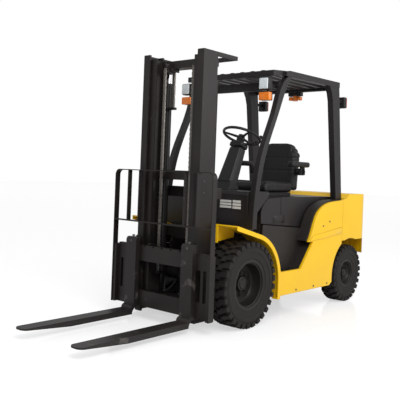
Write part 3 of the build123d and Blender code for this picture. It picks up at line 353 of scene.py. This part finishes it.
def plate(bm, points, x0, x1, bevel=0.0, segments=2):
    """A lengthwise outline (back, up) given thickness from x0 to x1, with bevelled edges."""
    face = bm.faces.new([bm.verts.new(at(x0, y, z)) for y, z in points])
    grown = bmesh.ops.extrude_face_region(bm, geom=[face])["geom"]
    verts = [g for g in grown if isinstance(g, bmesh.types.BMVert)]
    bmesh.ops.translate(bm, vec=Vector(((x1 - x0) * MM, 0, 0)), verts=verts)
    if bevel:
        edges = {e for v in verts for e in v.link_edges} | set(face.edges)
        rounded_off(bm, [e for e in edges if e.calc_length() > 2 * bevel * MM], bevel, segments)


def rod(bm, start, end, radius, segments=12, far_radius=None):
    """A round bar between two places in metres."""
    axis = end - start
    made = bmesh.ops.create_cone(bm, cap_ends=True, segments=segments, radius1=radius * MM,
                                 radius2=(far_radius or radius) * MM, depth=axis.length)["verts"]
    turn = Vector((0, 0, 1)).rotation_difference(axis).to_matrix()
    bmesh.ops.rotate(bm, cent=(0, 0, 0), matrix=turn, verts=made)
    bmesh.ops.translate(bm, vec=(start + end) / 2, verts=made)
    return made


def both_blocks(bm, low, high, bevel=0.0, segments=2):
    """A block on the left and its mirror image on the right."""
    for side in (1, -1):
        x0, x1 = sorted((side * low[0], side * high[0]))
        block(bm, (x0, *low[1:]), (x1, *high[1:]), bevel, segments)


def both_rods(bm, start, end, radius, segments=12, far_radius=None):
    """A round bar on the left and its mirror image on the right, in millimetres."""
    for side in (1, -1):
        rod(bm, at(side * start[0], *start[1:]), at(side * end[0], *end[1:]), radius, segments, far_radius)


print("helpers: piece, lathe, block, plate, rod, and the pairs of them")

# %% [markdown]
# An industrial tyre has a stepped chevron tread: blocks that start at the middle, jog sideways,
# and run down over the shoulder. The carcass is a profile spun about the axle. One block is
# drawn, tapered, and copied round by a spin that duplicates, once for each shoulder.

# %% Tyres
tyres = {
    "front": dict(radius=353, width=220, flange_r=212, lug_height=22, lugs=30),
    "rear": dict(radius=285, width=170, flange_r=145, lug_height=16, lugs=26),
}


def wheel_centre(end, hand):
    """The middle of a wheel, in metres."""
    low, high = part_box(f"{end}_tyre_{hand}")
    centre = (low + high) / 2
    centre.z = tyres[end]["radius"] * MM
    return centre


def carcass_profile(half, flange_r, base_r):
    """Half widths and radii of the tyre without its lugs, from bead to bead and closed."""
    wall_r = (flange_r + base_r) / 2
    one_side = [(half - 22, flange_r - 9), (half - 14, flange_r), (half - 9, flange_r + 4),
                (half - 7, wall_r - 10), (half - 3, wall_r - 6), (half, wall_r + 10),
                (half - 3, wall_r + 26), (half - 7, wall_r + 29), (half - 11, base_r - 12),
                (half - 24, base_r)]
    other_side = [(-x, r) for x, r in reversed(one_side)]
    return one_side + [(0, base_r + 2)] + other_side + one_side[:1]


def tread_block(bm, shoulder, centre, half, radius, lug_height, pitch):
    """One lug on one shoulder, wider at its foot and drawn down over the shoulder."""
    long = pitch * radius
    foot = [(5, 0.02), (half * 0.42, 0.06), (half * 0.46, 0.28), (half - 12, 0.36), (half - 3, 0.38),
            (half - 3, 0.92), (half - 12, 0.90), (half * 0.40, 0.84), (half * 0.36, 0.60), (5, 0.56)]
    crown = [bm.verts.new(centre + Vector((shoulder * x * MM, (t - 0.5) * long * MM, radius * MM)))
             for x, t in foot]
    down = bmesh.ops.extrude_face_region(bm, geom=[bm.faces.new(crown)])["geom"]
    root = [g for g in down if isinstance(g, bmesh.types.BMVert)]
    bmesh.ops.translate(bm, vec=Vector((0, 0, -(lug_height + 6) * MM)), verts=root)
    middle = sum((v.co for v in root), Vector()) / len(root)
    for v in root:
        v.co.y = middle.y + (v.co.y - middle.y) * 1.10
    for v in root + crown:
        if abs(v.co.x - centre.x) > (half - 4) * MM:
            v.co.z -= (14 if v in root else 7) * MM
            v.co.x += (shoulder * 0.5 if v in root else 0) * MM
    if shoulder < 0:
        half_step = Matrix.Rotation(pitch / 2, 3, "X")
        bmesh.ops.rotate(bm, cent=centre, matrix=half_step, verts=crown + root)
    return crown + root


def dressed_tyre(end, hand):
    """The carcass with its two rows of lugs, in place of the plain tyre."""
    size = tyres[end]
    radius, lug_height, lugs = size["radius"], size["lug_height"], size["lugs"]
    half = size["width"] / 2
    centre = wheel_centre(end, hand)
    bm = bmesh.new()
    lathe(bm, carcass_profile(half, size["flange_r"], radius - lug_height), centre, 72)
    for shoulder in (1, -1):
        lug = tread_block(bm, shoulder, centre, half, radius, lug_height, math.tau / lugs)
        copied_round(bm, lug, centre, lugs)
    made = piece(bm, f"tread_{end}_{hand}", f"{end}_wheel_{hand}", "tyre_rubber", sharp=30)
    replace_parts(made, f"{end}_tyre_{hand}")


for hand in ("left", "right"):
    dressed_tyre("front", hand)
    dressed_tyre("rear", hand)
print("tyres dressed")

# %% [markdown]
# The rims are deep dishes with a flange at each edge, a hub and a ring of wheel nuts. Spinning
# one profile gives the dish, and the nuts are six-sided prisms copied round by the same operator.

# %% Rims
rims = {
    "front": dict(seat_r=190, half=95, disc_at=-26, hub_r=62, nuts=8, nut_r=14),
    "rear": dict(seat_r=127, half=72, disc_at=0, hub_r=42, nuts=6, nut_r=11),
}


def rim_profile(half, seat_r, flange_r, disc_at, hub_r):
    """The dish from its inner flange round the outer one to the hub and back."""
    lip = seat_r - 9
    inner_flange = [(-half, lip), (-half, flange_r - 3), (-half + 4, flange_r), (-half + 9, flange_r - 3),
                    (-half + 12, seat_r)]
    outer_flange = [(half - 12, seat_r), (half - 9, flange_r - 3), (half - 4, flange_r),
                    (half, flange_r - 4), (half, seat_r + 4), (half - 5, lip + 3), (half - 16, lip)]
    dish = [(half - 20, lip - 7), (half - 34, lip - 9), (disc_at + 30, lip - 14), (disc_at + 12, lip - 26),
            (disc_at + 8, lip - 44), (disc_at + 8, hub_r + 46)]
    hub = [(disc_at + 14, hub_r + 38), (disc_at + 14, hub_r + 8), (disc_at + 22, hub_r),
           (disc_at + 40, hub_r - 4), (disc_at + 44, hub_r - 10), (disc_at + 44, hub_r - 20),
           (disc_at + 50, hub_r - 24), (disc_at + 52, 0.4)]
    back = [(disc_at - 6, 0.4), (disc_at - 6, lip), (-half, lip)]
    return inner_flange + outer_flange + dish + hub + back


def dressed_rim(end, hand, side):
    """The dish with its wheel nuts and studs, in place of the plain rim."""
    size = rims[end]
    disc_at, hub_r, nut_r = size["disc_at"], size["hub_r"], size["nut_r"]
    centre = wheel_centre(end, hand)
    bm = bmesh.new()
    profile = rim_profile(size["half"], size["seat_r"], tyres[end]["flange_r"], disc_at, hub_r)
    lathe(bm, profile, centre, 64, side)

    def on_ring(out):
        """A place on the ring of nuts, some way out from the disc."""
        return centre + Vector((side * (disc_at + out) * MM, 0, (hub_r + nut_r + 9) * MM))

    nut = rod(bm, on_ring(12), on_ring(28), nut_r, 6)
    stud = rod(bm, on_ring(27), on_ring(37), nut_r * 0.45, 8)
    copied_round(bm, nut + stud, centre, size["nuts"])
    made = piece(bm, f"wheel_{end}_{hand}", f"{end}_wheel_{hand}", "rim_paint", sharp=30)
    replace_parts(made, f"{end}_rim_{hand}")


for side, hand in ((1, "left"), (-1, "right")):
    dressed_rim("front", hand, side)
    dressed_rim("rear", hand, side)
print("rims dressed")

# %% [markdown]
# The seat is moulded foam under vinyl. A plain form with bevelled edges is remeshed fine and
# blown up a little by the cloth solver, so that its faces crown. The sewn channels are pressed in
# last, because a voxel remesh would wipe out any seam made earlier.

# %% Seat pads
cloth_frames = 20
cloth_pressure = 4
swell = 5


def inflated(pad):
    """Moves a pad's surface out as the cloth solver says, by at most the swell."""
    start = [v.co.copy() for v in pad.data.vertices]
    blown = pad.modifiers.new("blown", "CLOTH")
    blown.settings.use_pressure = True
    blown.settings.uniform_pressure_force = cloth_pressure
    blown.settings.effector_weights.gravity = 0
    for number in range(1, cloth_frames + 1):
        scene.frame_set(number)
    shape = pad.evaluated_get(bpy.context.evaluated_depsgraph_get()).data
    for v, old, new in zip(pad.data.vertices, start, shape.vertices):
        step = new.co - old
        v.co = old + step.normalized() * min(step.length, swell * MM)
    pad.modifiers.remove(blown)
    scene.frame_set(1)


def sewn(pad, channels):
    """Presses in channels, each (axis, place in metres, depth, half width in millimetres)."""
    normals = [v.normal.copy() for v in pad.data.vertices]
    for v, normal in zip(pad.data.vertices, normals):
        for axis, where, depth, half in channels:
            off = (v.co[axis] - where) / (half * MM)
            v.co -= normal * depth * MM * math.exp(-off * off)


def soft_pad(name, bm, solid, channels):
    """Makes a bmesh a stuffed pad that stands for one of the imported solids."""
    bmesh.ops.recalc_face_normals(bm, faces=bm.faces)
    mesh = bpy.data.meshes.new(name)
    bm.to_mesh(mesh)
    bm.free()
    pad = bpy.data.objects.new(name, mesh)
    scene.collection.objects.link(pad)
    with bpy.context.temp_override(active_object=pad, object=pad, selected_objects=[pad]):
        fine = pad.modifiers.new("fine", "REMESH")
        fine.mode = "VOXEL"
        fine.voxel_size = 0.006
        bpy.ops.object.modifier_apply(modifier="fine")
        inflated(pad)
    sewn(pad, channels)
    pad.data.materials.clear()
    pad.data.materials.append(looks["seat_vinyl"])
    pad.data.shade_smooth()
    soft = pad.modifiers.new("soft", "SUBSURF")
    soft.levels = 1
    soft.render_levels = 1
    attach(pad, "hood")
    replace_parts(pad, solid)


def leaning_block(bm, low, high, corner, edge):
    """A block with its two upper corners rounded wide, for a seat back."""
    made = block(bm, low, high)
    top_z = at(0, 0, high[2] - 1).z
    top = [e for e in {e for v in made for e in v.link_edges}
           if all(v.co.z > top_z for v in e.verts) and abs(e.verts[0].co.x - e.verts[1].co.x) < 0.001]
    out = rounded_off(bm, top, corner, 6)
    verts = {v for f in out["faces"] for v in f.verts} | {v for v in made if v.is_valid}
    faces = {f for v in verts for f in v.link_faces}
    rim = [e for e in {e for f in faces for e in f.edges} if e.calc_face_angle(0) > 0.9]
    rounded_off(bm, rim, edge, 3)


side_seams = [(0, side * 0.170, 8, 8) for side in (1, -1)]
thigh_seam = [(1, at(0, 780, 0).y, 5, 8)]
bm = bmesh.new()
plate(bm, [(640, 1137), (670, 1176), (1100, 1168), (1104, 1096), (655, 1092)], -200, 200, 16, 3)
bolster = [(634, 1130), (664, 1184), (760, 1190), (1098, 1182), (1104, 1094), (652, 1090)]
for side in (1, -1):
    plate(bm, bolster, side * 168, side * 252, 24, 4)
soft_pad("cushion", bm, "seat_cushion", side_seams + thigh_seam)

back_foot = at(0, 1150, 1110)
back_lean = Matrix.Rotation(math.radians(-6.0), 3, "X")
back_seams = [(2, z * MM, 4, 8) for z in (1300, 1430)]
bm = bmesh.new()
leaning_block(bm, (-208, 1150, 1108), (208, 1236, 1585), 120, 20)
for side in (1, -1):
    x0, x1 = sorted((side * 150, side * 232))
    leaning_block(bm, (x0, 1124, 1112), (x1, 1226, 1500), 38, 24)
bmesh.ops.rotate(bm, cent=back_foot, matrix=back_lean, verts=bm.verts)
soft_pad("backrest_pad", bm, "seat_back", side_seams + back_seams)
print("seat pads", "with cloth")

# %% [markdown]
# The wheel rim is a tube bent into a ring, and one spin of a small circle makes it. The whole
# wheel is drawn flat about the upright and then leant with the column, so every spoke stays in
# its plane. The spinner knob for one-handed steering sits on the rim.

# %% Steering wheel and its column
tube_r = 13
wheel_low, wheel_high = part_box("steering_wheel")
ring_r = (wheel_high.x - wheel_low.x) / 2 / MM - tube_r - 1
column_lean = Matrix.Rotation(math.radians(-24), 3, "X")
wheel_hub = at(0, 578.3, 1605.5)


def on_column(bm):
    """Leans what is drawn about the origin with the column and puts it at the wheel's hub."""
    bmesh.ops.rotate(bm, cent=(0, 0, 0), matrix=column_lean, verts=bm.verts)
    bmesh.ops.translate(bm, vec=wheel_hub, verts=bm.verts)


def spoke_end(angle, reach):
    """A place in the wheel's plane, in metres, from an angle in radians and millimetres."""
    return Vector((math.cos(angle), math.sin(angle), 0)) * reach * MM


bm = bmesh.new()
tube = bmesh.ops.create_circle(bm, segments=12, radius=tube_r * MM)["verts"]
bmesh.ops.rotate(bm, cent=(0, 0, 0), matrix=Matrix.Rotation(math.radians(90), 3, "X"), verts=tube)
bmesh.ops.translate(bm, vec=Vector((ring_r * MM, 0, 0)), verts=tube)
bmesh.ops.spin(bm, geom=tube + list({e for v in tube for e in v.link_edges}), cent=(0, 0, 0),
               axis=(0, 0, 1), dvec=(0, 0, 0), angle=math.tau, steps=56, use_merge=True,
               use_duplicate=False)
for degrees in (90, 210, 330):
    angle = math.radians(degrees)
    rod(bm, spoke_end(angle, 28) - up * 14 * MM, spoke_end(angle, ring_r), 13, 10, 9)
rod(bm, up * -46 * MM, up * 8 * MM, 40, 28, 30)
knob_foot = spoke_end(0.6, ring_r)
rod(bm, knob_foot, knob_foot + up * 26 * MM, 7, 10)
ball = bmesh.ops.create_uvsphere(bm, u_segments=16, v_segments=10, radius=20 * MM)["verts"]
bmesh.ops.translate(bm, vec=knob_foot + up * 36 * MM, verts=ball)
on_column(bm)
wheel = piece(bm, "wheel_with_knob", "steering_wheel", "black_plastic")
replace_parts(wheel, "steering_wheel")

bm = bmesh.new()
block(bm, (-74, -58, -128), (74, 58, -74), 20, 3)
rod(bm, at(60, 0, -100), at(190, -6, -70), 6, 8, 4)
rod(bm, at(182, -6, -72), at(214, -8, -64), 10, 10, 8)
bmesh.ops.translate(bm, vec=-at(0, 0, 0), verts=bm.verts)
on_column(bm)
piece(bm, "column_switches", "chassis", "black_plastic")
print("steering wheel ring radius", round(ring_r), "mm")

# %% [markdown]
# Work lamps have a moulded housing and a ribbed clear lens in front, and the turn signals below
# them are amber all over. The rear ones look backwards, so from the front only their black
# housings show. Ribs stand on the lens as thin bars, because a bump alone has no edge.

# %% Lamps
bm = bmesh.new()
both_blocks(bm, (401, 268, 1979), (499, 331, 2086), 9, 3)
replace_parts(piece(bm, "lamp_housings", "chassis", "black_plastic"), "headlamps")

bm = bmesh.new()
both_blocks(bm, (407, 257, 1986), (493, 272, 2079), 5)
for k in range(7):
    rib_x = 415 + k * 11.5
    both_blocks(bm, (rib_x, 255, 1992), (rib_x + 3, 259, 2073))
piece(bm, "lamp_lenses", "chassis", "lamp_lens")

bm = bmesh.new()
both_blocks(bm, (395, 271, 1890), (505, 318, 1960), 8, 3)
for k in range(5):
    rib_z = 1900 + k * 12
    both_blocks(bm, (401, 270, rib_z), (499, 273, rib_z + 3))
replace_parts(piece(bm, "signal_lenses", "chassis", "amber_lens"), "turn_signals")

bm = bmesh.new()
both_blocks(bm, (397, 317, 1889), (503, 331, 1961), 5)
both_blocks(bm, (431, 1562, 1951), (529, 1612, 2062), 9, 3)
both_rods(bm, (480, 1600, 2006), (480, 1606, 2006), 30, 24)
piece(bm, "lamp_backs", "chassis", "black_plastic")

bm = bmesh.new()
both_blocks(bm, (436, 1610, 1956), (524, 1631, 2057), 7)
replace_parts(piece(bm, "rear_lenses", "chassis", "red_lens"), "rear_lamps")

bm = bmesh.new()
rod(bm, at(0, 1486, 2034), at(0, 1486, 2088), 26, 28, 28)
both_blocks(bm, (34, 1462, 2040), (70, 1510, 2078), 6)
piece(bm, "beacon_lens", "chassis", "amber_lens")

bm = bmesh.new()
block(bm, (-76, 1458, 2084), (76, 1514, 2137), 6)
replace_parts(piece(bm, "beacon_base", "chassis", "black_plastic"), "rear_beacon")
print("lamps done")

# %% [markdown]
# A leaf chain is flat plates stacked on pins, two rows taking turns. One double link is built
# and duplicated up the strand, which is how the chain is laced together.

# %% Leaf chains
chain_x = 160
double_link = 38.1
row_places = ((-11, -3.8, 3.8, 11), (-7.4, 0, 7.4))
leaf_half = 1.6
leaf_depth = 7.5
chain_low, chain_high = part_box("chain_front")
chain_y = (chain_low.y + chain_high.y) / 2 / MM - axle_y / MM
chain_foot_z = chain_low.z / MM
links_up = int((chain_high.z - chain_low.z) / MM / double_link)
bm = bmesh.new()
for side in (1, -1):
    middle_x = side * chain_x
    link = []
    for k, places in enumerate(row_places):
        z = chain_foot_z + k * double_link / 2
        for x in places:
            link += block(bm, (middle_x + x - leaf_half, chain_y - leaf_depth, z + 1),
                          (middle_x + x + leaf_half, chain_y + leaf_depth, z + 26))
        link += rod(bm, at(middle_x - 14, chain_y, z + 8), at(middle_x + 14, chain_y, z + 8), 4, 8)
    whole = link + list({e for v in link for e in v.link_edges})
    whole += list({f for v in link for f in v.link_faces})
    for k in range(1, links_up):
        copy = bmesh.ops.duplicate(bm, geom=whole)["geom"]
        bmesh.ops.translate(bm, vec=Vector((0, 0, k * double_link * MM)),
                            verts=[g for g in copy if isinstance(g, bmesh.types.BMVert)])
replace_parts(piece(bm, "leaf_chains", "mast_inner", "chain_steel"), "chain_front")

bm = bmesh.new()
both_blocks(bm, (chain_x - 17, -324, 402), (chain_x + 17, -306, 455), 3)
both_rods(bm, (chain_x, -315, 452), (chain_x, -315, 520), 9)
piece(bm, "chain_anchors", "mast_inner", "lever_steel")
print("links per strand", 2 * links_up)

# %% [markdown]
# The pressed side panel isn't flat. A raised band runs along it from the step up to the
# counterweight, with bolts above it and along the sill. The band is a thin plate with a bevel on
# every long edge, laid on the panel, and the step's mat has ribs across it.

# %% Side panels and steps
skin_x = body_half - 1
band = [(905, 655), (1180, 668), (1505, 698), (1505, 762), (1180, 726), (960, 702)]
bm = bmesh.new()
for side in (1, -1):
    plate(bm, band, side * skin_x, side * (body_half + 5), 4)
piece(bm, "panel_bands", "chassis", "body_yellow", sharp=50)

bm = bmesh.new()
for y, z in ((1145, 787), (1264, 825)):
    both_rods(bm, (skin_x, y, z), (body_half + 5, y, z), 8, 6)
for y, z in ((700, 235), (1000, 235), (1250, 235)):
    both_rods(bm, (skin_x, y, z), (body_half + 4, y, z), 9, 6)
piece(bm, "panel_bolts", "chassis", "lever_steel")

bm = bmesh.new()
for k in range(9):
    rib_y = 500 + k * 30
    both_blocks(bm, (462, rib_y, 405), (570, rib_y + 12, 411), 2, 1)
both_blocks(bm, (462, 478, 405), (574, 486, 412), 2, 1)
piece(bm, "step_ribs", "chassis", "black_plastic")
print("bands, bolts and step ribs done")

# %% [markdown]
# The data plates in front of the driver are left blank. Small things follow: a lid on each side of
# the hood's fixed front, the chrome bail that slides the seat, louvres in the rear pillars and
# rounded pads on the armrests.

# %% Plates, lids, bail, louvres and armrests
plate_paint = finish("plate_paint", (0.62, 0.62, 0.60), 0.4, drift=0.05, drift_size=30, edge=0)
rows = 3
bm = bmesh.new()
for x0, x1, z0, z1 in ((182, 300, 955, 1028), (318, 400, 952, 1030)):
    for row in range(rows):
        z = z0 + row * (z1 - z0) / rows
        block(bm, (x0, 66, z + 3), (x1, 84 - row, z + (z1 - z0) / rows - 3))
piece(bm, "blank_plates", "chassis", "charcoal_paint", look=plate_paint)

bm = bmesh.new()
both_blocks(bm, (436, 505, 822), (441, 690, 893), 2)
block(bm, (436, 520, 834), (444, 675, 880), 2)
block(bm, (-441, 520, 834), (-436, 675, 880), 2)
piece(bm, "battery_lids", "chassis", "charcoal_paint")

bm = bmesh.new()
rod(bm, at(-230, 618, 1066), at(230, 618, 1066), 7)
both_rods(bm, (230, 618, 1066), (230, 720, 1072), 7)
piece(bm, "seat_bail", "hood", "rod_chrome")

pillar_lean = 0.09
bm = bmesh.new()
for k in range(8):
    rise = k * 22
    y = 1462 - rise * pillar_lean
    both_blocks(bm, (522, y - 6, 1620 + rise), (527, y + 34, 1629 + rise), 2, 1)
piece(bm, "pillar_louvres", "chassis", "charcoal_paint")

bm = bmesh.new()
both_blocks(bm, (302, 903, 1336), (373, 1216, 1388), 20, 4)
both_rods(bm, (243, 1188, 1292), (312, 1188, 1292), 34, 24)
for side in (1, -1):
    x0, x1 = sorted((side * 290, side * 312))
    plate(bm, [(1140, 1265), (1150, 1345), (1214, 1345), (1226, 1262)], x0, x1, 5)
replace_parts(piece(bm, "armrest_pads", "hood", "black_plastic"), "armrests")
print("small parts done")

# %% [markdown]
# The forks hang by hooks and are held sideways by a spring latch with a knob. The mast's cross
# members and clamps are bolted, which shows as bright heads, and each lift cylinder ends in a
# wider gland where its rod comes out.

# %% Forks and mast
fork_x = 317
lift_x, lift_y = 259, -172
bm = bmesh.new()
both_rods(bm, (fork_x, -462, 680), (fork_x, -462, 697), 8)
both_rods(bm, (fork_x, -462, 694), (fork_x, -462, 705), 13, 14, 11)
both_rods(bm, (fork_x, -489, 655), (fork_x, -486, 655), 11, 6)
piece(bm, "fork_latches", "carriage", "lever_steel")

bm = bmesh.new()
for z in (700, 760, 1050, 1110):
    both_rods(bm, (303, -222, z), (303, -214, z), 11, 6)
for z in (330, 420):
    both_rods(bm, (336, -300, z), (343, -300, z), 12, 6)
for z in (1090, 1180):
    both_rods(bm, (336, -338, z), (339, -338, z), 7, 6)
piece(bm, "mast_bolts", "mast_outer", "lever_steel")

bm = bmesh.new()
both_rods(bm, (lift_x, lift_y, 1975), (lift_x, lift_y, 2012), 41, 28)
both_rods(bm, (lift_x, lift_y, 1960), (lift_x, lift_y, 1976), 39, 28)
piece(bm, "lift_glands", "mast_outer", "cylinder_paint")
print("forks and mast done")
